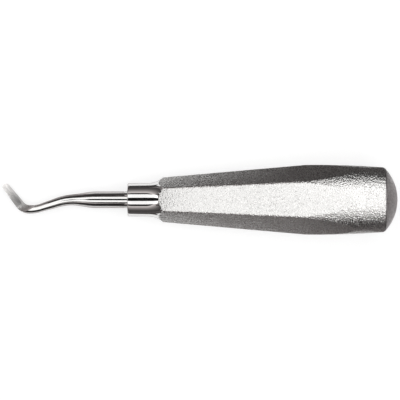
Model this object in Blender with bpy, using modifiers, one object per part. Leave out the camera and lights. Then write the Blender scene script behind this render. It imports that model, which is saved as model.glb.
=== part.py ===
"""Surgical root elevator with a hollow six-sided steel handle, a domed end cap and a bent gouge blade.

Metres, +Z up. The elevator lies flush on one flat of its handle, blade towards -X.
Every piece is drawn about the handle axis (its own Z, running from the collar face to the rear)
and hangs on one empty, which lays that axis down at the angle of the flats.
"""
import math

import bmesh
import bpy
from mathutils import Vector

# Handle body, lengths measured from the front face of the collar
HANDLE_LENGTH = 0.0936
COLLAR_DIAMETER = 0.01206
COLLAR_LENGTH = 0.0071
COLLAR_CHAMFER = 0.0003
FLARE_RADIUS = 0.0090
FLAT_COUNT = 6
FLATS_AT_COLLAR = 0.01248
FLAT_TAPER_DEG = 4.335
FLAT_EDGE_RADIUS = 0.0013
BARREL_DIAMETER = 0.02554
BARREL_CREST = 0.0705
BARREL_ARC_RADIUS = 0.285
REAR_EDGE_CHAMFER = 0.00015

# Bores of the handle body
WALL = 0.0010
CAVITY_FRONT = 0.0190
REAR_BORE_DIAMETER = 0.0214
JOINT_CLEARANCE = 0.0003

# End cap
DOME_RISE = 0.0050
CAP_WALL = 0.0015
SPIGOT_LENGTH = 0.0040
SPIGOT_CHAMFER = 0.0005

# Working end, lengths measured along its centre line from the collar face
SHANK_DIAMETER = 0.0061
TANG_LENGTH = 0.0160
TANG_CHAMFER = 0.0004
SHANK_STRAIGHT = 0.0190
NECK_START = 0.0116
NECK_END = 0.0204
NECK_DIAMETER = 0.0040
HEEL_DIAMETER = 0.0030
CRANK_RADIUS = 0.0220
CRANK_DEG = 17.3
CRANK_RUN = 0.0066
HEEL_RADIUS = 0.0130
BEND_RADIUS = 0.0046
BLADE_DEG = 52.0
BLADE_LENGTH = 0.0098
BLADE_BASE_WIDTH = 0.0032
BLADE_TIP_WIDTH = 0.0028
BLADE_BASE_DEPTH = 0.00125
BLADE_TIP_DEPTH = 0.00055
BLADE_HOLLOW = 0.00026
BLADE_ROLL_DEG = -20.0
BACK_SQUARENESS = 0.6
FACE_LENGTH = 0.0130
GRIND_RADIUS = 0.0060
TIP_ROUND_LENGTH = 0.0015
TIP_SQUARENESS = 2.3

# Fineness of the meshes
TURN_STEPS = 96
INNER_STEPS = 48
SECTION_POINTS = 40
SHANK_STEP = 0.0015
BLADE_STEP = 0.00045
OVERCUT = 0.002

FLAT_SLOPE = math.tan(math.radians(FLAT_TAPER_DEG))
FLAT_HALF_ANGLE = math.pi / FLAT_COUNT
COLLAR_RADIUS = COLLAR_DIAMETER / 2
BARREL_RADIUS = BARREL_DIAMETER / 2
REAR_BORE_RADIUS = REAR_BORE_DIAMETER / 2
SHANK_RADIUS = SHANK_DIAMETER / 2


def flat_distance(z):
    """Distance from the handle axis to each flat at a length z behind the collar face."""
    return FLATS_AT_COLLAR / 2 + FLAT_SLOPE * z


def barrel_radius(z):
    """Radius of the turned barrel, a shallow arc about its crest."""
    return BARREL_RADIUS - BARREL_ARC_RADIUS + math.sqrt(BARREL_ARC_RADIUS ** 2 - (z - BARREL_CREST) ** 2)


def new_collection(name):
    collection = bpy.data.collections.new(name)
    bpy.context.scene.collection.children.link(collection)
    return collection


def clear_scene():
    for thing in list(bpy.data.objects):
        bpy.data.objects.remove(thing, do_unlink=True)


def steel(name, colour, roughness):
    """A plain steel material; colour as linear RGB."""
    material = bpy.data.materials.new(name)
    material.use_nodes = True
    shader = material.node_tree.nodes["Principled BSDF"]
    shader.inputs["Base Color"].default_value = (*colour, 1.0)
    shader.inputs["Roughness"].default_value = roughness
    shader.inputs["Metallic"].default_value = 1.0
    material.diffuse_color = (*colour, 1.0)
    material.roughness = roughness
    material.metallic = 1.0
    return material


def add_object(name, mesh, collection, material=None):
    thing = bpy.data.objects.new(name, mesh)
    collection.objects.link(thing)
    if material:
        mesh.materials.append(material)
    return thing


def as_cutter(thing):
    thing.hide_render = True
    thing.display_type = "WIRE"
    return thing


def turned(name, profile, collection, material=None, steps=TURN_STEPS):
    """A turned solid from its outer profile, (radius, height) pairs running from top to bottom."""
    mesh = bpy.data.meshes.new(name)
    bm = bmesh.new()
    points = [bm.verts.new((radius, 0.0, height)) for radius, height in profile]
    for above, below in zip(points, points[1:]):
        bm.edges.new((above, below))
    bm.to_mesh(mesh)
    bm.free()
    thing = add_object(name, mesh, collection, material)
    screw = thing.modifiers.new("turn", "SCREW")
    screw.axis = "Z"
    screw.angle = math.tau
    screw.steps = steps
    screw.render_steps = steps
    screw.use_merge_vertices = True
    screw.merge_threshold = 0.00001
    screw.use_smooth_shade = True
    return thing


def arc_points(centre, radius, start, end, count):
    """Points of an arc in the (radius, height) plane, angles measured from the radius direction."""
    turns = [start + (end - start) * i / count for i in range(count + 1)]
    return [(centre[0] + radius * math.cos(a), centre[1] + radius * math.sin(a)) for a in turns]


def blank_profile():
    """Outer profile of the turned blank: barrel arc, cone outside the flats, flare, collar."""
    corner_slope = FLAT_SLOPE / math.cos(FLAT_HALF_ANGLE)
    cone_angle = math.atan(corner_slope)
    cone_top = BARREL_CREST - BARREL_ARC_RADIUS * math.sin(cone_angle)
    cone_top_radius = barrel_radius(cone_top)
    rear_radius = barrel_radius(HANDLE_LENGTH)
    profile = [(0.0, HANDLE_LENGTH), (rear_radius - REAR_EDGE_CHAMFER, HANDLE_LENGTH)]
    count = 14
    first = HANDLE_LENGTH - REAR_EDGE_CHAMFER
    for i in range(count + 1):
        z = first + (cone_top - first) * i / count
        profile.append((barrel_radius(z), z))
    flare_centre = (COLLAR_RADIUS + FLARE_RADIUS, COLLAR_LENGTH)
    flare_end = flare_meets_cone(flare_centre, cone_top, cone_top_radius, corner_slope)
    flare = arc_points(flare_centre, FLARE_RADIUS, math.pi - flare_end, math.pi, 12)
    profile += flare
    profile.append((COLLAR_RADIUS, COLLAR_CHAMFER))
    profile.append((COLLAR_RADIUS - COLLAR_CHAMFER, 0.0))
    profile.append((0.0, 0.0))
    return profile


def flare_meets_cone(centre, cone_top, cone_top_radius, slope):
    """Angle of the flare arc at which it reaches the cone, found by halving."""
    low, high = 0.0, math.pi / 2
    for _ in range(60):
        middle = (low + high) / 2
        radius = centre[0] - FLARE_RADIUS * math.cos(middle)
        z = centre[1] + FLARE_RADIUS * math.sin(middle)
        if radius < cone_top_radius + (z - cone_top) * slope:
            low = middle
        else:
            high = middle
    return low


def cavity_profile():
    """The hollow, bored from the rear: a straight mouth for the cap and a cone behind the flats."""
    cone_end = (REAR_BORE_RADIUS + WALL - FLATS_AT_COLLAR / 2) / FLAT_SLOPE
    cone_end = min(cone_end, HANDLE_LENGTH - SPIGOT_LENGTH - OVERCUT)
    return [
        (0.0, HANDLE_LENGTH + OVERCUT),
        (REAR_BORE_RADIUS, HANDLE_LENGTH + OVERCUT),
        (REAR_BORE_RADIUS, cone_end),
        (flat_distance(CAVITY_FRONT) - WALL, CAVITY_FRONT),
        (0.0, CAVITY_FRONT),
    ]


def tang_bore_profile():
    """The bore of the collar, one clearance wider and deeper than the tang."""
    radius = SHANK_RADIUS + JOINT_CLEARANCE
    depth = TANG_LENGTH + JOINT_CLEARANCE
    return [(0.0, depth), (radius, depth), (radius, -OVERCUT), (0.0, -OVERCUT)]


def boolean(thing, name, operation, cutter):
    step = thing.modifiers.new(name, "BOOLEAN")
    step.operation = operation
    step.solver = "EXACT"
    step.object = cutter


def make_handle_body(parts, cutters, material):
    """Six tapering flats with broken corners, cut from a turned blank, then bored from both ends."""
    bottom, top = -OVERCUT, HANDLE_LENGTH + OVERCUT
    to_corner = 1 / math.cos(FLAT_HALF_ANGLE)
    mesh = bpy.data.meshes.new("handle_body")
    bm = bmesh.new()
    bmesh.ops.create_cone(
        bm,
        cap_ends=True,
        cap_tris=False,
        segments=FLAT_COUNT,
        radius1=flat_distance(bottom) * to_corner,
        radius2=flat_distance(top) * to_corner,
        depth=top - bottom,
    )
    bmesh.ops.translate(bm, verts=bm.verts, vec=(0.0, 0.0, (top + bottom) / 2))
    long_edges = [edge for edge in bm.edges if abs(edge.verts[0].co.z - edge.verts[1].co.z) > OVERCUT]
    bmesh.ops.bevel(
        bm,
        geom=long_edges,
        offset=FLAT_EDGE_RADIUS * math.tan(FLAT_HALF_ANGLE),
        offset_type="OFFSET",
        segments=6,
        profile=0.5,
        affect="EDGES",
        material=-1,
    )
    bm.to_mesh(mesh)
    bm.free()
    mesh.shade_smooth()
    mesh.set_sharp_from_angle(angle=math.radians(35))
    body = add_object("handle_body", mesh, parts, material)
    blank = as_cutter(turned("blank_cutter", blank_profile(), cutters))
    cavity = as_cutter(turned("cavity_cutter", cavity_profile(), cutters, steps=INNER_STEPS))
    bore = as_cutter(turned("tang_bore_cutter", tang_bore_profile(), cutters, steps=INNER_STEPS))
    boolean(body, "turn the blank", "INTERSECT", blank)
    boolean(body, "bore the cavity", "DIFFERENCE", cavity)
    boolean(body, "bore for the tang", "DIFFERENCE", bore)
    return [body, blank, cavity, bore]


def make_end_cap(parts, material):
    """Turned cap: a spherical dome as wide as the barrel's rear, with a spigot for the bore."""
    rim = barrel_radius(HANDLE_LENGTH) - REAR_EDGE_CHAMFER
    face = JOINT_CLEARANCE
    rise = DOME_RISE - face
    dome_radius = (rim ** 2 + rise ** 2) / (2 * rise)
    half_angle = math.asin(rim / dome_radius)
    centre = (0.0, face + rise - dome_radius)
    dome = arc_points(centre, dome_radius, math.pi / 2, math.pi / 2 - half_angle, 10)
    dome[0] = (0.0, face + rise)
    spigot = REAR_BORE_RADIUS - JOINT_CLEARANCE
    profile = dome + [
        (spigot, face),
        (spigot, SPIGOT_CHAMFER - SPIGOT_LENGTH),
        (spigot - SPIGOT_CHAMFER, -SPIGOT_LENGTH),
        (spigot - CAP_WALL, -SPIGOT_LENGTH),
        (spigot - CAP_WALL, face),
        (0.0, face + rise - CAP_WALL),
    ]
    cap = turned("end_cap", profile, parts, material)
    cap.location.z = HANDLE_LENGTH
    return cap


def centre_line():
    """The working end's centre line as (length, position, heading) stations, tang end first.

    It runs straight out of the collar, cranks to one side, and bends back at the heel into the blade.
    Heading is the angle between the line and the handle axis, positive towards the blade's side.
    """
    crank = math.radians(CRANK_DEG)
    blade = math.radians(BLADE_DEG)
    runs = [
        (TANG_LENGTH, 0.0, TANG_LENGTH),
        (SHANK_STRAIGHT, 0.0, SHANK_STEP),
        (CRANK_RADIUS * crank, -crank, SHANK_STEP),
        (CRANK_RUN, 0.0, SHANK_STEP),
        (HEEL_RADIUS * crank, crank, BLADE_STEP),
        (BEND_RADIUS * blade, blade, BLADE_STEP),
        (BLADE_LENGTH - TIP_ROUND_LENGTH, 0.0, BLADE_STEP),
        (TIP_ROUND_LENGTH, 0.0, TIP_ROUND_LENGTH),
    ]
    heading = 0.0
    place = Vector((0.0, 0.0, TANG_LENGTH))
    length = -TANG_LENGTH
    stations = [(length, place.copy(), heading)]
    for run, turn, step in runs:
        count = math.ceil(run / step)
        for _ in range(count):
            middle = heading + turn / count / 2
            place = place + Vector((0.0, math.sin(middle), -math.cos(middle))) * (run / count)
            heading += turn / count
            length += run / count
            stations.append((length, place.copy(), heading))
    return stations


def smooth(value):
    value = min(max(value, 0.0), 1.0)
    return value * value * (3 - 2 * value)


def between(value, start, end):
    return (value - start) / (end - start)


def half_width(length, marks):
    """Half the width of the working end, before the blade's tip is rounded."""
    heel, bend, blade, tip = marks
    if length < NECK_START:
        from_end = length + TANG_LENGTH
        return SHANK_RADIUS - max(TANG_CHAMFER - from_end, 0.0)
    if length < NECK_END:
        t = between(length, NECK_START, NECK_END)
        fall = (NECK_DIAMETER - HEEL_DIAMETER) / 2 * (NECK_END - NECK_START) / (heel - NECK_END)
        ease = smooth(t) * (NECK_DIAMETER - SHANK_DIAMETER) / 2
        return SHANK_RADIUS + ease - fall * (t ** 3 - t ** 2)
    if length < heel:
        t = between(length, NECK_END, heel)
        return (NECK_DIAMETER + (HEEL_DIAMETER - NECK_DIAMETER) * t) / 2
    if length < blade:
        t = smooth(between(length, heel, blade))
        return (HEEL_DIAMETER + (BLADE_BASE_WIDTH - HEEL_DIAMETER) * t) / 2
    t = smooth(between(length, blade, tip) / 0.6)
    return (BLADE_BASE_WIDTH + (BLADE_TIP_WIDTH - BLADE_BASE_WIDTH) * t) / 2


def back_depth(length, half, marks):
    """Depth of the working end behind its face: round on the shank, thinning along the blade."""
    heel, bend, blade, tip = marks
    if length < blade:
        return half + (BLADE_BASE_DEPTH - half) * smooth(between(length, bend, blade))
    return BLADE_BASE_DEPTH + (BLADE_TIP_DEPTH - BLADE_BASE_DEPTH) * between(length, blade, tip) ** 0.8


def make_face_cutter(cutters, tip_place, towards_tip, across_axis, up_axis):
    """What the grinding takes off the blade: a shallow trough that runs out of the shank along an arc."""
    climb_to = HEEL_DIAMETER
    runout_start = FACE_LENGTH - arc_run(HEEL_DIAMETER / 2)
    runout_turn = math.asin(arc_run(climb_to) / GRIND_RADIUS)
    trough_half = BLADE_BASE_WIDTH / 2
    cut_half = trough_half + HEEL_DIAMETER
    straight_share = 0.3
    bm = bmesh.new()
    bmesh.ops.create_grid(bm, x_segments=24, y_segments=22, size=1.0)
    lower = set(bm.verts)
    bmesh.ops.extrude_face_region(bm, geom=bm.faces[:])
    for vert in bm.verts:
        share = (vert.co.x + 1) / 2
        across = vert.co.y * cut_half
        if share < straight_share:
            from_tip = -OVERCUT + (runout_start + OVERCUT) * share / straight_share
            height = 0.0
        else:
            turn = runout_turn * (share - straight_share) / (1 - straight_share)
            from_tip = runout_start + GRIND_RADIUS * math.sin(turn)
            height = GRIND_RADIUS * (1 - math.cos(turn))
        inside = min(abs(across), trough_half) / trough_half
        beyond = max(abs(across) - trough_half, 0.0) / trough_half
        height += BLADE_HOLLOW * (inside ** 2 - 1 + 2 * beyond)
        if vert not in lower:
            height = 3 * climb_to
        vert.co = tip_place - towards_tip * from_tip + across_axis * across + up_axis * height
    bmesh.ops.recalc_face_normals(bm, faces=bm.faces)
    mesh = bpy.data.meshes.new("face_cutter")
    bm.to_mesh(mesh)
    bm.free()
    mesh.shade_smooth()
    return as_cutter(add_object("face_cutter", mesh, cutters))


def arc_run(climb):
    """Length over which the grinding wheel's arc climbs so far."""
    return math.sqrt(GRIND_RADIUS ** 2 - (GRIND_RADIUS - climb) ** 2)


def make_working_end(parts, cutters, material):
    """Tang, shank, crank and gouge blade in one, lofted between sections that change along it.

    The sections go from round to a half-round back that thins and closes over the tip, and the
    hollow face is then ground in. No turned or swept shape makes this, so its skin is built ring by ring.
    """
    stations = centre_line()
    tip, tip_place, blade_heading = stations.pop()
    blade = tip - BLADE_LENGTH
    bend = blade - BEND_RADIUS * math.radians(BLADE_DEG)
    heel = bend - HEEL_RADIUS * math.radians(CRANK_DEG)
    marks = (heel, bend, blade, tip)
    stations.insert(1, (TANG_CHAMFER - TANG_LENGTH, Vector((0.0, 0.0, TANG_LENGTH - TANG_CHAMFER)), 0.0))
    towards_tip = Vector((0.0, math.sin(blade_heading), -math.cos(blade_heading)))
    for share in (0.25, 0.5, 0.7, 0.84, 0.93, 0.985):
        back = TIP_ROUND_LENGTH * (1 - share)
        stations.append((tip - back, tip_place - towards_tip * back, blade_heading))
    roll = math.radians(BLADE_ROLL_DEG)
    bm = bmesh.new()
    rings = []
    for length, place, heading in stations:
        into_tip = max(between(length, tip - TIP_ROUND_LENGTH, tip), 0.0)
        shrink = (1 - into_tip ** TIP_SQUARENESS) ** (1 / TIP_SQUARENESS)
        full = half_width(length, marks)
        half = full * shrink
        middle = -BLADE_HOLLOW * (1 - shrink ** 2)
        depth = back_depth(length, full, marks)
        if shrink < 1:
            depth = BLADE_HOLLOW + (depth - BLADE_HOLLOW) * shrink + middle
        power = 2 / (2 + BACK_SQUARENESS * smooth(between(length, bend, blade)))
        across_axis, up_axis = rolled_axes(heading, roll)
        ring = []
        for i in range(SECTION_POINTS):
            turn = math.tau * i / SECTION_POINTS
            c, s = math.cos(turn), math.sin(turn)
            across = half * math.copysign(abs(c) ** power, c)
            height = middle + (half * s if s >= 0 else -depth * abs(s) ** power)
            ring.append(bm.verts.new(place + across_axis * across + up_axis * height))
        rings.append(ring)
    for ring, following in zip(rings, rings[1:]):
        for i in range(SECTION_POINTS):
            j = (i + 1) % SECTION_POINTS
            bm.faces.new((ring[i], ring[j], following[j], following[i]))
    bm.faces.new(rings[0])
    bm.faces.new(reversed(rings[-1]))
    bmesh.ops.recalc_face_normals(bm, faces=bm.faces)
    mesh = bpy.data.meshes.new("working_end")
    bm.to_mesh(mesh)
    bm.free()
    mesh.shade_smooth()
    mesh.set_sharp_from_angle(angle=math.radians(40))
    working_end = add_object("working_end", mesh, parts, material)
    cutter = make_face_cutter(cutters, tip_place, towards_tip, *rolled_axes(blade_heading, roll))
    boolean(working_end, "grind the face", "DIFFERENCE", cutter)
    return [working_end, cutter]


def rolled_axes(heading, roll):
    """Across and up axes of a section, turned by the roll of the blade about its own length."""
    side = Vector((0.0, math.cos(heading), math.sin(heading)))
    up = Vector((-1.0, 0.0, 0.0))
    return side * math.cos(roll) + up * math.sin(roll), up * math.cos(roll) - side * math.sin(roll)


def lay_down(things, parts):
    """Hangs the pieces on one empty that lays the handle on its lower flat.

    The origin comes to the middle of the flat the elevator rests on.
    """
    taper = math.radians(FLAT_TAPER_DEG)
    flat_front = COLLAR_LENGTH + FLARE_RADIUS / 2
    flat_rear = BARREL_CREST
    middle = (flat_front + flat_rear) / 2
    axes = bpy.data.objects.new("handle_axis", None)
    axes.empty_display_size = 0.02
    parts.objects.link(axes)
    axes.rotation_euler = (0.0, math.pi / 2 - taper, 0.0)
    axes.location.x = -(middle * math.cos(taper) + flat_distance(middle) * math.sin(taper))
    axes.location.z = flat_distance(0.0) * math.cos(taper)
    for thing in things:
        thing.parent = axes
    return axes


def main():
    clear_scene()
    parts = new_collection("surgical_elevator")
    cutters = new_collection("cutters")
    satin = steel("blasted_handle_steel", (0.60, 0.59, 0.58), 0.45)
    dull = steel("satin_cap_steel", (0.52, 0.50, 0.50), 0.40)
    bright = steel("ground_blade_steel", (0.66, 0.65, 0.63), 0.18)
    things = make_handle_body(parts, cutters, satin)
    things.append(make_end_cap(parts, dull))
    things += make_working_end(parts, cutters, bright)
    lay_down(things, parts)


main()
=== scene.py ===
import math

import bmesh
import bpy
from mathutils import Matrix, Vector


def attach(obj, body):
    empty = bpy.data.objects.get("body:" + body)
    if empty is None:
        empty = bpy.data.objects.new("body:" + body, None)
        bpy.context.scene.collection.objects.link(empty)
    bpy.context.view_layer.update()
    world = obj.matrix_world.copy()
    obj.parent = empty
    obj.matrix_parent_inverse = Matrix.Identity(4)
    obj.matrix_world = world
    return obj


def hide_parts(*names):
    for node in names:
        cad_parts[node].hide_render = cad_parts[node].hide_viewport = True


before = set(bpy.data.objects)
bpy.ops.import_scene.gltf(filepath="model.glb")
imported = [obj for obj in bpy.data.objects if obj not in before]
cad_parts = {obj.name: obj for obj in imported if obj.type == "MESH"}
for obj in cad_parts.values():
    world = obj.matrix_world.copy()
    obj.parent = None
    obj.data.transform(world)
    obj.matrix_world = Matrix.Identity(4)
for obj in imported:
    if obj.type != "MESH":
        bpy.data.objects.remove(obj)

scene = bpy.context.scene
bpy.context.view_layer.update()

# Camera
# The elevator lies on one flat of its handle, and the camera looks straight down on the flat above
# it. The flats taper, so the handle's axis leans a little, and the camera leans with it.
FLAT_TAPER = math.radians(4.335)
FLATS_AT_COLLAR = 0.01248
REST_MIDDLE = 0.04105
CAMERA_DISTANCE = 0.79
CAMERA_SIDE = -0.00009
CAMERA_ALONG = 0.02644
VIEW_WIDTH = 0.14628
flat_slope = math.tan(FLAT_TAPER)
rest_distance = FLATS_AT_COLLAR / 2 + flat_slope * REST_MIDDLE
collar_face = Vector((
    -(REST_MIDDLE * math.cos(FLAT_TAPER) + rest_distance * math.sin(FLAT_TAPER)),
    0.0,
    FLATS_AT_COLLAR / 2 * math.cos(FLAT_TAPER),
))
# Pieces are shaped about the handle's axis, collar face at zero and rear up, and then laid down by this
laid_down = Matrix.Translation(collar_face) @ Matrix.Rotation(math.pi / 2 - FLAT_TAPER, 4, "Y")

camera = bpy.data.objects.new("camera", bpy.data.cameras.new("camera"))
scene.collection.objects.link(camera)
camera.data.sensor_width = 36.0
camera.data.lens = camera.data.sensor_width * CAMERA_DISTANCE / VIEW_WIDTH
camera.data.clip_start = 0.05
camera.data.clip_end = 20.0
lean = laid_down.to_3x3()
camera_turn = Matrix((lean @ Vector((0, 0, 1)), Vector((0, 1, 0)), lean @ Vector((-1, 0, 0)))).transposed()
camera_place = laid_down @ Vector((-CAMERA_DISTANCE, CAMERA_SIDE, CAMERA_ALONG))
camera.matrix_world = Matrix.Translation(camera_place) @ camera_turn.to_4x4()
scene.camera = camera

# Handle body
# One hollow stainless body turned from bar, with six tapering flats milled along it and their
# corners broken. The collar and its flare are polished, and the flats and barrel are bead-blasted.
HANDLE_LENGTH = 0.0936
COLLAR_RADIUS = 0.00603
COLLAR_LENGTH = 0.0071
COLLAR_EDGE = 0.0003
FLARE_RADIUS = 0.0090
FLAT_COUNT = 6
FLAT_EDGE_RADIUS = 0.0008
BARREL_RADIUS = 0.01277
BARREL_CREST = 0.0705
BARREL_ARC_RADIUS = 0.285
REAR_EDGE = 0.00018
REAR_BORE_RADIUS = 0.0107
REAR_BORE_DEPTH = 0.0045
TANG_BORE_RADIUS = 0.00335
TANG_BORE_DEPTH = 0.0163
TURNING_STEPS = 288
BARREL_STEPS = 40
FLARE_STEPS = 90
MILLING_OVERRUN = 0.002
LARGEST_CURVED_FACE = 0.0001
SHARP_CORNER = math.radians(50)

# Pattern scales are in cells to a metre, and noise keeps mostly to its middle range
NOISE_RANGE = 0.3, 0.7
BLASTED_TONES = (0.62, 0.615, 0.605), (0.76, 0.754, 0.742)
BLASTED_ROUGHNESS = 0.20, 0.38
GRAIN_SCALE = 2300
SPECK_SCALE = 2900
SHINE_SCALE = 2200
STREAK_SCALE = 1500
DIMPLES_FROM, DIMPLES_TO = -0.030, 0.050
DIMPLE_DEPTHS = 0.00015, 0.00022
STREAK_DEPTH = 0.00006
GRAIN_TURN = (0.6, 0.5, 0.9)
SHINE_TURN = (0.9, 0.3, 0.5)
COLLAR_TONES = (0.72, 0.715, 0.705), (0.76, 0.755, 0.75)
COLLAR_ROUGHNESS = 0.04, 0.09
TOOL_MARK_DEPTH = 0.0000015
TOOL_MARK_SCALE = 4000
COLLAR_SMEAR_SCALE = 350
LONG_STREAKS = (0.06, 1, 1)
ROUND_RINGS = (1, 0.02, 0.02)


def barrel_radius(z):
    """Radius of the barrel's shallow arc at a length z behind the collar face."""
    return BARREL_RADIUS - BARREL_ARC_RADIUS + math.sqrt(BARREL_ARC_RADIUS ** 2 - (z - BARREL_CREST) ** 2)


def arc(centre, radius, start, end, count):
    """Points of an arc as (radius, height), angles in degrees from the outward direction."""
    angles = [math.radians(start + (end - start) * i / count) for i in range(count + 1)]
    return [(centre[0] + radius * math.cos(a), centre[1] + radius * math.sin(a)) for a in angles]


def turn(bm, profile, steps):
    """Spins a profile of (radius, height) points about the axis into a closed skin."""
    points = [bm.verts.new((radius, 0.0, height)) for radius, height in profile]
    edges = [bm.edges.new(pair) for pair in zip(points, points[1:])]
    bmesh.ops.spin(
        bm, geom=points + edges, cent=(0, 0, 0), axis=(0, 0, 1), dvec=(0, 0, 0),
        angle=math.tau, steps=steps, use_merge=True, use_duplicate=False,
    )
    bmesh.ops.remove_doubles(bm, verts=bm.verts, dist=1e-7)
    bmesh.ops.recalc_face_normals(bm, faces=bm.faces)


def mesh_object(bm, name, materials):
    """Turns a finished bmesh into an object of the scene."""
    mesh = bpy.data.meshes.new(name)
    for material in materials:
        mesh.materials.append(material)
    bm.to_mesh(mesh)
    bm.free()
    made = bpy.data.objects.new(name, mesh)
    scene.collection.objects.link(made)
    return made


def machine(stock, tool, operation, name):
    """Cuts the stock by the tool's shape, clears both away and gives the mesh that is left."""
    cut = stock.modifiers.new(name, "BOOLEAN")
    cut.operation = operation
    cut.solver = "EXACT"
    cut.object = tool
    depsgraph = bpy.context.evaluated_depsgraph_get()
    mesh = bpy.data.meshes.new_from_object(stock.evaluated_get(depsgraph))
    mesh.name = name
    bpy.data.objects.remove(stock)
    bpy.data.objects.remove(tool)
    return mesh


def lay_down(mesh, largest_curved_face=math.inf):
    """Smooths all but real corners and the borders of finishes, and lays the mesh in its place."""
    bm = bmesh.new()
    bm.from_mesh(mesh)
    for edge in bm.edges:
        pair = edge.link_faces
        one_finish = len(pair) == 2 and pair[0].material_index == pair[1].material_index
        edge.smooth = one_finish and edge.calc_face_angle() < SHARP_CORNER
    for face in bm.faces:
        face.smooth = face.calc_area() < largest_curved_face
    bm.transform(laid_down)
    bm.to_mesh(mesh)
    bm.free()


def add_piece(name, mesh, node):
    """Adds a finished piece that stands for a CAD node and rides with it."""
    piece = bpy.data.objects.new(name, mesh)
    scene.collection.objects.link(piece)
    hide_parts(node)
    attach(piece, "root")


def new_metal(name, roughness):
    """A metal material with its shader, ready for its pattern nodes."""
    material = bpy.data.materials.new(name)
    material.use_nodes = True
    shader = material.node_tree.nodes["Principled BSDF"]
    shader.inputs["Metallic"].default_value = 1.0
    shader.inputs["Roughness"].default_value = roughness
    return material, shader


def pattern_coordinates(material, scale=(1, 1, 1), turn=(0.0, FLAT_TAPER, 0.0)):
    """Object coordinates turned, so that X runs along the piece, and then stretched by scale."""
    tree = material.node_tree
    coordinates = tree.nodes.new("ShaderNodeTexCoord")
    turned = tree.nodes.new("ShaderNodeMapping")
    turned.inputs["Rotation"].default_value = turn
    tree.links.new(coordinates.outputs["Object"], turned.inputs["Vector"])
    stretched = tree.nodes.new("ShaderNodeMapping")
    stretched.inputs["Scale"].default_value = scale
    tree.links.new(turned.outputs["Vector"], stretched.inputs["Vector"])
    return stretched.outputs["Vector"]


def distance_along(material, turn=(0.0, FLAT_TAPER, 0.0)):
    """Place along the piece, in metres."""
    parts = material.node_tree.nodes.new("ShaderNodeSeparateXYZ")
    material.node_tree.links.new(pattern_coordinates(material, turn=turn), parts.inputs[0])
    return parts.outputs["X"]


def noise(material, vector, scale, detail=2.0, roughness=0.5):
    node = material.node_tree.nodes.new("ShaderNodeTexNoise")
    node.inputs["Scale"].default_value = scale
    node.inputs["Detail"].default_value = detail
    node.inputs["Roughness"].default_value = roughness
    material.node_tree.links.new(vector, node.inputs["Vector"])
    return node.outputs["Fac"]


def spread(material, value, low, high, new_low, new_high):
    """Maps a value from one range to another."""
    node = material.node_tree.nodes.new("ShaderNodeMapRange")
    for name, number in (("From Min", low), ("From Max", high), ("To Min", new_low), ("To Max", new_high)):
        node.inputs[name].default_value = number
    material.node_tree.links.new(value, node.inputs["Value"])
    return node.outputs["Result"]


def two_tone(material, value, tones):
    """A darker and a lighter tone of the metal, mixed by a value."""
    node = material.node_tree.nodes.new("ShaderNodeMix")
    node.data_type = "RGBA"
    node.inputs["A"].default_value = (*tones[0], 1.0)
    node.inputs["B"].default_value = (*tones[1], 1.0)
    material.node_tree.links.new(value, node.inputs["Factor"])
    return node.outputs["Result"]


def bump(material, height, depth, below=None):
    node = material.node_tree.nodes.new("ShaderNodeBump")
    node.inputs["Distance"].default_value = depth
    node.inputs["Strength"].default_value = 1.0
    material.node_tree.links.new(height, node.inputs["Height"])
    if below:
        material.node_tree.links.new(below, node.inputs["Normal"])
    return node.outputs["Normal"]


blasted, shader = new_metal("blasted_steel", 0.42)
links = blasted.node_tree.links
even = pattern_coordinates(blasted, turn=GRAIN_TURN)
grain = noise(blasted, even, GRAIN_SCALE, 0.0)
specks = spread(blasted, noise(blasted, even, SPECK_SCALE, 1.0), *NOISE_RANGE, 0, 1)
streaks = noise(blasted, pattern_coordinates(blasted, LONG_STREAKS), STREAK_SCALE)
shine = noise(blasted, pattern_coordinates(blasted, turn=SHINE_TURN), SHINE_SCALE, 0.0)
links.new(two_tone(blasted, specks, BLASTED_TONES), shader.inputs["Base Color"])
links.new(spread(blasted, shine, *NOISE_RANGE, *BLASTED_ROUGHNESS), shader.inputs["Roughness"])
dimples = bump(blasted, grain, DIMPLE_DEPTHS[0])
dimple_depth = spread(blasted, distance_along(blasted), DIMPLES_FROM, DIMPLES_TO, *DIMPLE_DEPTHS)
links.new(dimple_depth, dimples.node.inputs["Distance"])
links.new(bump(blasted, streaks, STREAK_DEPTH, dimples), shader.inputs["Normal"])

polished, shader = new_metal("polished_steel", 0.06)
links = polished.node_tree.links
tool_marks = noise(polished, pattern_coordinates(polished, ROUND_RINGS), TOOL_MARK_SCALE)
smears = noise(polished, pattern_coordinates(polished), COLLAR_SMEAR_SCALE, 3.0, 0.6)
links.new(two_tone(polished, smears, COLLAR_TONES), shader.inputs["Base Color"])
links.new(spread(polished, smears, *NOISE_RANGE, *COLLAR_ROUGHNESS), shader.inputs["Roughness"])
links.new(bump(polished, tool_marks, TOOL_MARK_DEPTH), shader.inputs["Normal"])

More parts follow.
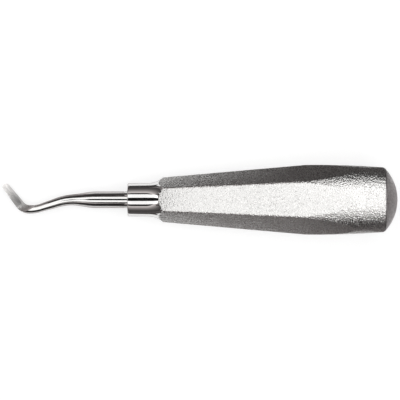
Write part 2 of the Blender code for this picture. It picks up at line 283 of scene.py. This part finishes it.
# The blank's profile runs from the rear bore over the barrel, flare and collar into the tang's bore
to_corner = 1 / math.cos(math.pi / FLAT_COUNT)
corner_slope = flat_slope * to_corner
cone_top = BARREL_CREST - BARREL_ARC_RADIUS * math.sin(math.atan(corner_slope))
cone_top_radius = barrel_radius(cone_top)
rear_radius = barrel_radius(HANDLE_LENGTH)
barrel_rear = HANDLE_LENGTH - REAR_EDGE * 1.6
flare_profile = [
    point for point in arc((COLLAR_RADIUS + FLARE_RADIUS, COLLAR_LENGTH), FLARE_RADIUS, 90, 180, FLARE_STEPS)
    if point[0] < cone_top_radius + (point[1] - cone_top) * corner_slope
]
blank_profile = [(0.0, HANDLE_LENGTH - REAR_BORE_DEPTH), (REAR_BORE_RADIUS, HANDLE_LENGTH - REAR_BORE_DEPTH)]
blank_profile += [(REAR_BORE_RADIUS, HANDLE_LENGTH)]
blank_profile += arc((rear_radius - REAR_EDGE, HANDLE_LENGTH - REAR_EDGE), REAR_EDGE, 90, 8, 4)
barrel_places = [barrel_rear + (cone_top - barrel_rear) * i / BARREL_STEPS for i in range(BARREL_STEPS + 1)]
blank_profile += [(barrel_radius(z), z) for z in barrel_places]
blank_profile += flare_profile
blank_profile += [(COLLAR_RADIUS, COLLAR_LENGTH * share) for share in (0.75, 0.5, 0.25)]
blank_profile += arc((COLLAR_RADIUS - COLLAR_EDGE, COLLAR_EDGE), COLLAR_EDGE, 0, -90, 5)
blank_profile += [(TANG_BORE_RADIUS, 0.0), (TANG_BORE_RADIUS, TANG_BORE_DEPTH), (0.0, TANG_BORE_DEPTH)]
bm = bmesh.new()
turn(bm, blank_profile, TURNING_STEPS)
for face in bm.faces:
    if face.calc_center_median().z < cone_top / 2:
        face.material_index = 1
blank = mesh_object(bm, "turned_blank", (blasted, polished))

front, rear = -MILLING_OVERRUN, HANDLE_LENGTH + MILLING_OVERRUN
bm = bmesh.new()
bmesh.ops.create_cone(
    bm, cap_ends=True, cap_tris=False, segments=FLAT_COUNT, depth=rear - front,
    radius1=(FLATS_AT_COLLAR / 2 + flat_slope * front) * to_corner,
    radius2=(FLATS_AT_COLLAR / 2 + flat_slope * rear) * to_corner,
)
bmesh.ops.translate(bm, verts=bm.verts, vec=(0, 0, (rear + front) / 2))
long_edges = [edge for edge in bm.edges if abs(edge.verts[0].co.z - edge.verts[1].co.z) > HANDLE_LENGTH / 2]
bmesh.ops.bevel(
    bm, geom=long_edges, offset=FLAT_EDGE_RADIUS * math.tan(math.pi / FLAT_COUNT), offset_type="OFFSET",
    segments=8, profile=0.5, affect="EDGES", material=-1,
)
flats = mesh_object(bm, "milled_flats", (blasted, polished))
body_mesh = machine(flats, blank, "INTERSECT", "handle")
lay_down(body_mesh, LARGEST_CURVED_FACE)
add_piece("handle", body_mesh, "handle_body")

# End cap
# A domed stainless cap, turned and satin finished. On the real one its spigot is pressed into the
# rear bore and welded, and the joint shows as a fine dark line round the handle.
DOME_RISE = 0.0050
CAP_GAP = 0.0003
CAP_EDGE = 0.00012
CAP_RIM_STEP = 0.00015
SPIGOT_RADIUS = 0.0104
SPIGOT_LENGTH = 0.0036
CAP_TURNING_STEPS = 192
CAP_TONES = (0.44, 0.427, 0.427), (0.90, 0.872, 0.872)
CAP_GRAIN_SCALE = 1900
CAP_GRAIN_DEPTH = 0.00040
cap_rim = rear_radius - CAP_RIM_STEP
cap_foot = HANDLE_LENGTH + CAP_GAP
cap_rise = DOME_RISE - CAP_GAP
dome_radius = (cap_rim ** 2 + cap_rise ** 2) / (2 * cap_rise)
dome_half_angle = math.degrees(math.asin(cap_rim / dome_radius))
dome_centre = (0.0, HANDLE_LENGTH + DOME_RISE - dome_radius)
cap_profile = arc(dome_centre, dome_radius, 90, 90 - dome_half_angle + 0.6, 36)
cap_profile[0] = (0.0, HANDLE_LENGTH + DOME_RISE)
cap_profile += [(cap_rim - CAP_EDGE * 0.25, cap_foot + CAP_EDGE * 0.4), (cap_rim - CAP_EDGE, cap_foot)]
cap_profile += [(SPIGOT_RADIUS, cap_foot), (SPIGOT_RADIUS, HANDLE_LENGTH - SPIGOT_LENGTH)]
cap_profile += [(0.0, HANDLE_LENGTH - SPIGOT_LENGTH)]
bm = bmesh.new()
turn(bm, cap_profile, CAP_TURNING_STEPS)
bm.transform(laid_down)
cap_mesh = bpy.data.meshes.new("cap")
bm.to_mesh(cap_mesh)
bm.free()
cap_mesh.shade_smooth()
cap_mesh.set_sharp_from_angle(angle=math.radians(40))

satin, shader = new_metal("satin_cap_steel", 0.38)
links = satin.node_tree.links
grain = noise(satin, pattern_coordinates(satin, turn=GRAIN_TURN), CAP_GRAIN_SCALE, 3.0, 0.6)
links.new(two_tone(satin, spread(satin, grain, *NOISE_RANGE, 0, 1), CAP_TONES), shader.inputs["Base Color"])
links.new(bump(satin, grain, CAP_GRAIN_DEPTH), shader.inputs["Normal"])
cap_mesh.materials.append(satin)
add_piece("cap", cap_mesh, "end_cap")

# Working end
# Tang, shank and blade forged in one from round stainless bar. The shank is polished. The blade and
# the back of its bend are ground satin, and a wheel cuts the flat face, which runs out at the bend.
TANG_LENGTH = 0.0160
SHANK_RADIUS = 0.00305
SHANK_STRAIGHT = 0.0190
NECK_START = 0.0116
NECK_END = 0.0204
NECK_RADIUS = 0.0020
HEEL_HALF = 0.0015
CRANK_RADIUS = 0.0220
CRANK_TURN = math.radians(17.3)
CRANK_RUN = 0.0066
HEEL_RADIUS = 0.0130
BEND_RADIUS = 0.0046
BLADE_TURN = math.radians(52.0)
BLADE_LENGTH = 0.0098
BLADE_BASE_HALF = 0.0016
BLADE_TIP_HALF = 0.0014
BLADE_BASE_DEPTH = 0.00125
BLADE_TIP_DEPTH = 0.00055
BLADE_HOLLOW = 0.00005
BLADE_ROLL = math.radians(-20.0)
BACK_SQUARENESS = 0.6
FACE_LENGTH = 0.0130
GRIND_RADIUS = 0.0048
GRIND_OVERRUN = 0.002
TIP_ROUND_LENGTH = 0.0015
TIP_SQUARENESS = 2.3
TIP_DROP = 0.00035
TIP_DROP_LENGTH = 0.0075
SATIN_REACH = 0.0022
INSIDE_MOUTH = 0.0005
TIP_RINGS = 16
TIP_CLOSING = 0.0012
SECTION_STEPS = 96

SHANK_TONES = (0.72, 0.715, 0.705), (0.77, 0.765, 0.755)
SHANK_ROUGHNESS = 0.06, 0.13
SHANK_SMEAR_SCALE = 500
DRAW_MARK_SCALE = 3500
DRAW_MARK_DEPTH = 0.000002
LONG_SCRATCHES = (0.04, 1, 1)
SCRATCH_SCALE = 2400
SCRATCH_ROUGHNESS = 0.26, 0.36
SCRATCH_DEPTH = 0.000030
SCORE_SCALE = 2700
SCORE_RANGE = 0.36, 0.64
SCRATCHED_LENGTH = 0.0140
# Tones of the scratches, the darker under A, as (share of the scratched length from the tip, grey). Along the
# blade
# they hold painted light: a painted highlight at the tip, painted shade towards the bend and a painted highlight
# in the last stop, at the bend
SCRATCH_TONES_WITH_PAINTED_LIGHT = {
    "A": [(0.0, 0.78), (0.42, 0.38), (0.60, 0.33), (0.80, 0.25), (0.88, 0.80)],
    "B": [(0.0, 0.97), (0.42, 0.68), (0.60, 0.63), (0.80, 0.50), (0.88, 0.98)],
}

# The centre line as (length, turn) runs from the tang's inner end
RUNS = [
    (TANG_LENGTH + SHANK_STRAIGHT, 0.0),
    (CRANK_RADIUS * CRANK_TURN, -CRANK_TURN),
    (CRANK_RUN, 0.0),
    (HEEL_RADIUS * CRANK_TURN, CRANK_TURN),
    (BEND_RADIUS * BLADE_TURN, BLADE_TURN),
    (BLADE_LENGTH, 0.0),
]
tip_length = sum(run for run, _ in RUNS) - TANG_LENGTH
blade_length = tip_length - BLADE_LENGTH
bend_length = blade_length - BEND_RADIUS * BLADE_TURN
heel_length = bend_length - HEEL_RADIUS * CRANK_TURN


def on_centre_line(length):
    """Place and heading on the centre line, at a length from the collar face."""
    place = Vector((0.0, 0.0, TANG_LENGTH))
    heading = 0.0
    left = length + TANG_LENGTH
    for run, turned in RUNS:
        part = min(left, run)
        if turned:
            after = heading + turned * part / run
            step = Vector((0.0, math.cos(heading) - math.cos(after), -(math.sin(after) - math.sin(heading))))
            place += step * (run / turned)
            heading = after
        else:
            place += Vector((0.0, math.sin(heading), -math.cos(heading))) * part
        left -= part
        if left <= 0:
            break
    return place, heading


def ease(value):
    """A smooth step from nought to one."""
    value = min(max(value, 0.0), 1.0)
    return value * value * (3 - 2 * value)


def half_width(length):
    """Half the width of the working end, before the tip is rounded."""
    if length < NECK_START:
        return SHANK_RADIUS
    if length < NECK_END:
        t = (length - NECK_START) / (NECK_END - NECK_START)
        fall = (NECK_RADIUS - HEEL_HALF) * (NECK_END - NECK_START) / (heel_length - NECK_END)
        return SHANK_RADIUS + ease(t) * (NECK_RADIUS - SHANK_RADIUS) - fall * (t ** 3 - t ** 2)
    if length < heel_length:
        return NECK_RADIUS + (HEEL_HALF - NECK_RADIUS) * (length - NECK_END) / (heel_length - NECK_END)
    if length < blade_length:
        t = ease((length - heel_length) / (blade_length - heel_length))
        return HEEL_HALF + (BLADE_BASE_HALF - HEEL_HALF) * t
    t = ease((length - blade_length) / BLADE_LENGTH / 0.6)
    return BLADE_BASE_HALF + (BLADE_TIP_HALF - BLADE_BASE_HALF) * t


def rolled_axes(heading):
    """Across and up axes of a section, rolled with the blade about its own length."""
    side = Vector((0.0, math.cos(heading), math.sin(heading)))
    up = Vector((-1.0, 0.0, 0.0))
    across = side * math.cos(BLADE_ROLL) + up * math.sin(BLADE_ROLL)
    return across, up * math.cos(BLADE_ROLL) - side * math.sin(BLADE_ROLL)


def section_point(length, angle):
    """A point on the forged blank's skin: round on the shank, half-round behind the blade."""
    into_tip = max((length - tip_length + TIP_ROUND_LENGTH) / TIP_ROUND_LENGTH, 0.0)
    shrink = max(1 - into_tip ** TIP_SQUARENESS, 0.0) ** (1 / TIP_SQUARENESS)
    into_bend = ease((length - bend_length) / (blade_length - bend_length))
    full = half_width(length)
    depth = full + (BLADE_BASE_DEPTH - full) * into_bend
    if length >= blade_length:
        share = (length - blade_length) / BLADE_LENGTH
        depth = BLADE_BASE_DEPTH + (BLADE_TIP_DEPTH - BLADE_BASE_DEPTH) * share ** 0.8
    middle = -BLADE_HOLLOW * (1 - shrink ** 2)
    if shrink < 1:
        depth = BLADE_HOLLOW + (depth - BLADE_HOLLOW) * shrink + middle
    power = 2 / (2 + BACK_SQUARENESS * into_bend)
    place, heading = on_centre_line(length)
    across_axis, up_axis = rolled_axes(heading)
    c, s = math.cos(angle), math.sin(angle)
    across = full * shrink * math.copysign(abs(c) ** power, c)
    height = middle + (full * shrink * s if s >= 0 else -depth * abs(s) ** power)
    return place + across_axis * across + up_axis * height


shank_polish, shader = new_metal("shank_polish", 0.08)
links = shank_polish.node_tree.links
draw_marks = noise(shank_polish, pattern_coordinates(shank_polish, LONG_STREAKS), DRAW_MARK_SCALE)
smears = noise(shank_polish, pattern_coordinates(shank_polish), SHANK_SMEAR_SCALE, 3.0, 0.6)
links.new(two_tone(shank_polish, smears, SHANK_TONES), shader.inputs["Base Color"])
links.new(spread(shank_polish, smears, *NOISE_RANGE, *SHANK_ROUGHNESS), shader.inputs["Roughness"])
links.new(bump(shank_polish, draw_marks, DRAW_MARK_DEPTH), shader.inputs["Normal"])

# The ground steel is scratched along the blade, and its colour holds painted light: a painted highlight at the
# tip, painted shade towards the bend and a painted highlight at the bend itself
ground, shader = new_metal("ground_blade_face", 0.28)
links = ground.node_tree.links
blade_turned = (0.0, 0.0, BLADE_TURN)
along_blade = pattern_coordinates(ground, LONG_SCRATCHES, turn=blade_turned)
scratches = noise(ground, along_blade, SCRATCH_SCALE, 2.0, 0.6)
tip_along = (Matrix.Rotation(BLADE_TURN, 3, "Z") @ (laid_down @ on_centre_line(tip_length)[0])).x
from_tip = spread(ground, distance_along(ground, blade_turned), tip_along, tip_along + SCRATCHED_LENGTH, 0.0, 1.0)
scored = spread(ground, noise(ground, along_blade, SCORE_SCALE, 2.0, 0.6), *SCORE_RANGE, 0.0, 1.0)
scored_mix = ground.node_tree.nodes.new("ShaderNodeMix")
scored_mix.data_type = "RGBA"
links.new(scored, scored_mix.inputs["Factor"])
# The ramps along the blade paint light into the colour: a painted highlight at the tip, painted shade towards the
# bend and a painted highlight at the bend
for tone, stops in SCRATCH_TONES_WITH_PAINTED_LIGHT.items():
    ramp = ground.node_tree.nodes.new("ShaderNodeValToRGB")
    ramp.color_ramp.elements.remove(ramp.color_ramp.elements[1])
    for share, grey in stops:
        stop = ramp.color_ramp.elements.new(share) if share else ramp.color_ramp.elements[0]
        stop.position = share
        stop.color = (grey, 0.985 * grey, 0.97 * grey, 1)
    links.new(from_tip, ramp.inputs["Fac"])
    links.new(ramp.outputs["Color"], scored_mix.inputs[tone])
links.new(scored_mix.outputs["Result"], shader.inputs["Base Color"])
links.new(spread(ground, scratches, *NOISE_RANGE, *SCRATCH_ROUGHNESS), shader.inputs["Roughness"])
links.new(bump(ground, scratches, SCRATCH_DEPTH), shader.inputs["Normal"])

# A straight tube of rings is spun first, and every ring is then moved to its section. The rings lie
# closer where the form changes: (from, to, how many)
straight_end = tip_length - TIP_ROUND_LENGTH
RING_SPANS = [
    (-TANG_LENGTH, -INSIDE_MOUTH, 4),
    (-INSIDE_MOUTH, NECK_START, 12),
    (NECK_START, heel_length, 70),
    (heel_length, blade_length, 60),
    (blade_length, straight_end, 40),
]
ring_lengths = [start + (end - start) * i / count for start, end, count in RING_SPANS for i in range(count)]
ring_lengths += [straight_end]
for i in range(1, TIP_RINGS):
    ring_lengths += [tip_length - TIP_ROUND_LENGTH * (1 - math.sin(math.pi / 2 * i / TIP_RINGS))]
ring_lengths += [tip_length - TIP_ROUND_LENGTH * TIP_CLOSING]
satin_ring = next(i for i, length in enumerate(ring_lengths) if length > blade_length - SATIN_REACH)
bm = bmesh.new()
turn(bm, [(1.0, float(i)) for i in range(len(ring_lengths))], SECTION_STEPS)
bmesh.ops.holes_fill(bm, edges=[edge for edge in bm.edges if edge.is_boundary], sides=0)
for face in bm.faces:
    if face.calc_center_median().z > satin_ring:
        face.material_index = 1
for vert in bm.verts:
    vert.co = section_point(ring_lengths[round(vert.co.z)], math.atan2(vert.co.y, vert.co.x))
bmesh.ops.recalc_face_normals(bm, faces=bm.faces)
forged = mesh_object(bm, "forged_blank", (shank_polish, ground))


def arc_run(climb):
    """Length over which the wheel's rim climbs by a height."""
    return math.sqrt(GRIND_RADIUS ** 2 - (GRIND_RADIUS - climb) ** 2)


# The wheel's cut is a thick slab whose underside is the face: hollow across, falling away at the tip,
# and rising with the wheel's own radius where it runs out
tip_place, blade_heading = on_centre_line(tip_length)
towards_tip = Vector((0.0, math.sin(blade_heading), -math.cos(blade_heading)))
blade_across, blade_up = rolled_axes(blade_heading)
runout_start = FACE_LENGTH - arc_run(HEEL_HALF)
runout_turn = math.asin(arc_run(2 * HEEL_HALF) / GRIND_RADIUS)
cut_half = BLADE_BASE_HALF + 2 * HEEL_HALF
cut_top = 6 * HEEL_HALF
bm = bmesh.new()
bmesh.ops.create_grid(bm, x_segments=90, y_segments=80, size=1.0)
underside = set(bm.verts)
bmesh.ops.extrude_face_region(bm, geom=bm.faces[:])
for vert in bm.verts:
    share = (vert.co.x + 1) / 2
    across = vert.co.y * cut_half
    if share < 0.5:
        behind_tip = -GRIND_OVERRUN + (runout_start + GRIND_OVERRUN) * share / 0.5
        height = 0.0
    else:
        turned = runout_turn * (share - 0.5) / 0.5
        behind_tip = runout_start + GRIND_RADIUS * math.sin(turned)
        height = GRIND_RADIUS * (1 - math.cos(turned))
    height -= TIP_DROP * (max(TIP_DROP_LENGTH - behind_tip, 0.0) / TIP_DROP_LENGTH) ** 2
    inside = min(abs(across), BLADE_BASE_HALF) / BLADE_BASE_HALF
    beyond = max(abs(across) - BLADE_BASE_HALF, 0.0) / BLADE_BASE_HALF
    height += BLADE_HOLLOW * (inside ** 2 - 1 + 2 * beyond)
    if vert not in underside:
        height = cut_top
    vert.co = tip_place - towards_tip * behind_tip + blade_across * across + blade_up * height
bmesh.ops.recalc_face_normals(bm, faces=bm.faces)
for face in bm.faces:
    face.material_index = 1
wheel = mesh_object(bm, "grinding_cut", (shank_polish, ground))
end_mesh = machine(forged, wheel, "DIFFERENCE", "shank_and_blade")
lay_down(end_mesh)
add_piece("shank_and_blade", end_mesh, "working_end")

# Floor
# A plain white table top. It is lit by the lamps and keeps the elevator's shadow, and its white is
# brought up to paper white for the camera and for the reflections in the steel.
FLOOR_SIZE = 6.0
FLOOR_DROP = 0.0001
TABLE_GREY = 0.86
PAPER_WHITE = 1.26
PAPER_SHARE = 0.55


def seen_rays(tree):
    """One for the camera's rays and for those it follows in steel or glass, nought for light."""
    rays = tree.nodes.new("ShaderNodeLightPath")
    seen = rays.outputs["Is Camera Ray"]
    for kind in ("Is Glossy Ray", "Is Transmission Ray"):
        either = tree.nodes.new("ShaderNodeMath")
        either.operation = "MAXIMUM"
        tree.links.new(seen, either.inputs[0])
        tree.links.new(rays.outputs[kind], either.inputs[1])
        seen = either.outputs[0]
    return seen


table = bpy.data.materials.new("white_table")
table.use_nodes = True
tree = table.node_tree
tree.nodes.clear()
matte = tree.nodes.new("ShaderNodeBsdfDiffuse")
matte.inputs["Color"].default_value = (TABLE_GREY, TABLE_GREY, TABLE_GREY, 1)
white = tree.nodes.new("ShaderNodeEmission")
white.inputs["Color"].default_value = (1, 1, 1, 1)
white.inputs["Strength"].default_value = PAPER_WHITE
share = tree.nodes.new("ShaderNodeMath")
share.operation = "MULTIPLY"
share.inputs[1].default_value = PAPER_SHARE
tree.links.new(seen_rays(tree), share.inputs[0])
both = tree.nodes.new("ShaderNodeMixShader")
tree.links.new(share.outputs[0], both.inputs[0])
tree.links.new(matte.outputs[0], both.inputs[1])
tree.links.new(white.outputs[0], both.inputs[2])
output = tree.nodes.new("ShaderNodeOutputMaterial")
tree.links.new(both.outputs[0], output.inputs["Surface"])
bm = bmesh.new()
bmesh.ops.create_grid(bm, x_segments=1, y_segments=1, size=FLOOR_SIZE)
floor = mesh_object(bm, "floor", [table])
floor.location.z = -FLOOR_DROP

# Studio
# Softboxes hang above the elevator, with a brighter panel out to each side. Cards, flags and a grey tent give the
# steel a dark studio to mirror, and two glowing screens paint highlights in it; only its reflections see them
# all.
SOFTBOX_HEIGHT = 0.62
# Each lamp: its two edges as angles seen from the elevator, its ends along X, its brightness
SOFTBOXES = {
    "front_softbox": (-31.7, 38.0, -1.10, -0.12, 1.36),
    "rear_softbox": (-31.7, 38.0, -0.12, 0.08, 1.28),
    "lower_rear_softbox": (-31.7, 11.0, 0.08, 0.60, 1.62),
    "upper_side_panel": (38.2, 51.0, 0.08, 0.60, 3.7),
    "lower_side_panel": (-33.0, -45.0, 0.0, 0.60, 3.0),
}
for name, (near_angle, far_angle, front, rear, brightness) in SOFTBOXES.items():
    near = SOFTBOX_HEIGHT * math.tan(math.radians(near_angle))
    far = SOFTBOX_HEIGHT * math.tan(math.radians(far_angle))
    lamp = bpy.data.lights.new(name, "AREA")
    lamp.shape = "RECTANGLE"
    lamp.size = rear - front
    lamp.size_y = abs(far - near)
    lamp.energy = brightness * math.pi * lamp.size * lamp.size_y
    softbox = bpy.data.objects.new(name, lamp)
    scene.collection.objects.link(softbox)
    softbox.location = ((front + rear) / 2, (far + near) / 2, SOFTBOX_HEIGHT)

# Each card lies just above the table and darkens the white that the steel mirrors from it: its
# corners, and how grey it is
CARD_HEIGHT = 0.0003
CARDS = {
    "upper_front_card": (
        ((-0.0425, 0.0240), (-0.028, 0.0196), (-0.028, 4.0), (-2.5, 4.0), (-2.5, 1.6),
         (-0.12, 0.070), (-0.064, 0.0325), (-0.0595, 0.0390), (-0.047, 0.0343)), 0.035),
    "upper_card": (
        ((-0.028, 0.0196), (0.049, 0.0180), (0.053, 0.0148), (0.075, 0.0148), (4.0, 4.0), (-0.028, 4.0)), 0.069),
    "lower_front_card": (
        ((-0.0425, -0.0230), (-0.028, -0.0190), (-0.028, -4.0), (-2.5, -4.0), (-2.5, -1.6),
         (-0.12, -0.070), (-0.064, -0.0325), (-0.0595, -0.0390), (-0.047, -0.0343)), 0.07),
    "lower_card": (
        ((-0.028, -0.0190), (0.049, -0.0220), (0.053, -0.0148), (0.075, -0.0148), (4.0, -4.0), (-0.028, -4.0)),
        0.165),
    "rear_card": (((0.0752, -0.0146), (0.0752, 0.0146), (4.0, 3.99), (4.0, -3.99)), 0.16),
    # Painted shadow: this grey sheet stands for the handle's shadow on the table, as the steel mirrors it
    "painted_shadow_under_card": (((-0.0424, -0.009), (0.070, -0.009), (0.070, 0.009), (-0.0424, 0.009)), 0.45),
    "crank_card": (((-0.0605, 0.0035), (-0.075, 0.30), (-0.30, 0.30), (-0.30, 0.0035)), 0.25),
    "blade_card": (((-0.30, 0.004), (-0.0885, 0.004), (-0.0815, -0.006), (-0.10, -0.30), (-0.30, -0.30)), 0.12),
    # Painted shadow: this grey sheet stands for the shank's shadow on the table, as the steel mirrors it
    "painted_shadow_shank_card": (((-0.12, -0.02), (-0.0426, -0.02), (-0.0426, 0.02), (-0.12, 0.02)), 0.65),
}


def upright(side, front, rear):
    """Corners of a flag that stands along X, its ends given as (place, lower edge, upper edge)."""
    return (
        (front[0], side, front[1]), (rear[0], side, rear[1]),
        (rear[0], side, rear[2]), (front[0], side, front[2]),
    )


# Flags hang close to the collar, shank and barrel, and one pair stands before the flare. They draw
# the dark lines along the steel: corners, and how grey they are
LINE_FLAG_HEIGHT = 0.035
LINE_FLAG = ((-0.0665, -0.0040), (-0.0352, -0.0040), (-0.0352, 0.0066), (-0.0665, 0.0066), (-0.0750, 0.0015))
FLARE_FLAG_PLACE = -0.30
FLARE_FLAG = (
    (0.1600, 0.2029), (0.1900, 0.1870), (0.1475, 0.1299), (0.1158, 0.0813), (0.0975, 0.0905), (0.1240, 0.1420),
)
FLAGS = {
    "line_flag": ([(x, y, LINE_FLAG_HEIGHT) for x, y in LINE_FLAG], 0.0),
    "upper_flag": (upright(0.0085, (-0.0765, 0.0075, 0.0146), (-0.0434, 0.0098, 0.0143)), 0.03),
    "lower_flag": (upright(-0.0085, (-0.0800, 0.0056, 0.0094), (-0.0434, 0.0094, 0.0152)), 0.03),
    "upper_barrel_flag": (upright(0.030, (0.022, 0.0125, 0.034), (0.085, 0.0125, 0.034)), 0.02),
    "lower_barrel_flag": (upright(-0.030, (0.022, 0.0125, 0.036), (0.085, 0.0125, 0.036)), 0.05),
    "upper_flare_flag": ([(FLARE_FLAG_PLACE, y, z) for y, z in FLARE_FLAG], 0.02),
    "lower_flare_flag": ([(FLARE_FLAG_PLACE, -y, z) for y, z in FLARE_FLAG], 0.02),
}
# Two small glowing white screens paint highlights on the barrel's upper side and the blade's tip: corners, and
# brightness
HIGHLIGHT_SCREENS = {
    "barrel_highlight_screen": (
        ((0.030, 0.0145, 0.075), (0.075, 0.0145, 0.075), (0.075, 0.050, 0.046), (0.030, 0.050, 0.046)), 1.68),
    "tip_highlight_screen": (
        ((-0.086, 0.0183, 0.0265), (-0.0710, 0.0183, 0.0265), (-0.0710, 0.029, 0.0265), (-0.086, 0.029, 0.0265)),
        1.02),
}


def show_to_reflections(screen):
    """Hides a studio screen from the camera and keeps it out of the light."""
    screen.visible_camera = False
    screen.visible_diffuse = False
    screen.visible_shadow = False


for name, (corners, level) in {**CARDS, **FLAGS, **HIGHLIGHT_SCREENS}.items():
    paper = bpy.data.materials.new(name)
    paper.use_nodes = True
    shader = paper.node_tree.nodes["Principled BSDF"]
    shader.inputs["Roughness"].default_value = 1.0
    if name in HIGHLIGHT_SCREENS:
        # The highlight screens glow, and only the steel's reflections see them: painted highlights
        shader.inputs["Base Color"].default_value = (0, 0, 0, 1)
        shader.inputs["Emission Color"].default_value = (1, 1, 1, 1)
        shader.inputs["Emission Strength"].default_value = level
    else:
        # The darker a card is, the warmer its grey
        cooler = level * (0.88 + 0.12 * level)
        shader.inputs["Base Color"].default_value = (level, cooler, cooler, 1)
    bm = bmesh.new()
    bm.faces.new([bm.verts.new((*corner, CARD_HEIGHT)[:3]) for corner in corners])
    card = mesh_object(bm, name, [paper])
    show_to_reflections(card)

# A round grey tent stands about it all, dark towards the table and leaning a little to one side
TENT_RADIUS = 1.6
TENT_HEIGHT = 2.2
TENT_LEAN = math.radians(2.0)
# Its tones, as (share of its height, grey)
TENT_GREYS = [
    (0.0, 0.05), (0.051, 0.08), (0.141, 0.11), (0.263, 0.22),
    (0.387, 0.38), (0.532, 0.66), (0.665, 0.72), (0.713, 0.02),
]
cloth = bpy.data.materials.new("grey_tent")
cloth.use_nodes = True
tree = cloth.node_tree
tree.nodes.clear()
place = tree.nodes.new("ShaderNodeTexCoord")
leaned = tree.nodes.new("ShaderNodeMapping")
leaned.inputs["Rotation"].default_value = (TENT_LEAN, 0.0, 0.0)
tree.links.new(place.outputs["Object"], leaned.inputs["Vector"])
parts = tree.nodes.new("ShaderNodeSeparateXYZ")
tree.links.new(leaned.outputs["Vector"], parts.inputs[0])
height = tree.nodes.new("ShaderNodeMath")
height.operation = "DIVIDE"
height.inputs[1].default_value = TENT_HEIGHT
tree.links.new(parts.outputs["Z"], height.inputs[0])
ramp = tree.nodes.new("ShaderNodeValToRGB")
ramp.color_ramp.elements.remove(ramp.color_ramp.elements[1])
for stop_height, grey in TENT_GREYS:
    stop = ramp.color_ramp.elements.new(stop_height) if stop_height else ramp.color_ramp.elements[0]
    stop.position = stop_height
    stop.color = (grey, 0.93 * grey, 0.92 * grey, 1)
tree.links.new(height.outputs[0], ramp.inputs["Fac"])
glow = tree.nodes.new("ShaderNodeEmission")
tree.links.new(ramp.outputs["Color"], glow.inputs["Color"])
output = tree.nodes.new("ShaderNodeOutputMaterial")
tree.links.new(glow.outputs[0], output.inputs["Surface"])
bm = bmesh.new()
bmesh.ops.create_cone(bm, cap_ends=True, segments=96, radius1=TENT_RADIUS, radius2=TENT_RADIUS, depth=TENT_HEIGHT)
bmesh.ops.translate(bm, verts=bm.verts, vec=(0, 0, TENT_HEIGHT / 2))
bmesh.ops.delete(bm, geom=[face for face in bm.faces if face.calc_center_median().z < 0.01], context="FACES_ONLY")
tent = mesh_object(bm, "tent", [cloth])
show_to_reflections(tent)

# The room round the tent is white where it is looked at, and adds a little grey light
ROOM_GREY = 0.2
world = bpy.data.worlds.new("studio")
scene.world = world
world.use_nodes = True
tree = world.node_tree
background = tree.nodes["Background"]
background.inputs["Strength"].default_value = 1.0
white_or_grey = tree.nodes.new("ShaderNodeMix")
white_or_grey.data_type = "RGBA"
white_or_grey.inputs["A"].default_value = (ROOM_GREY, ROOM_GREY, ROOM_GREY, 1)
white_or_grey.inputs["B"].default_value = (1, 1, 1, 1)
tree.links.new(seen_rays(tree), white_or_grey.inputs["Factor"])
tree.links.new(white_or_grey.outputs["Result"], background.inputs["Color"])

scene.view_settings.view_transform = "Standard"
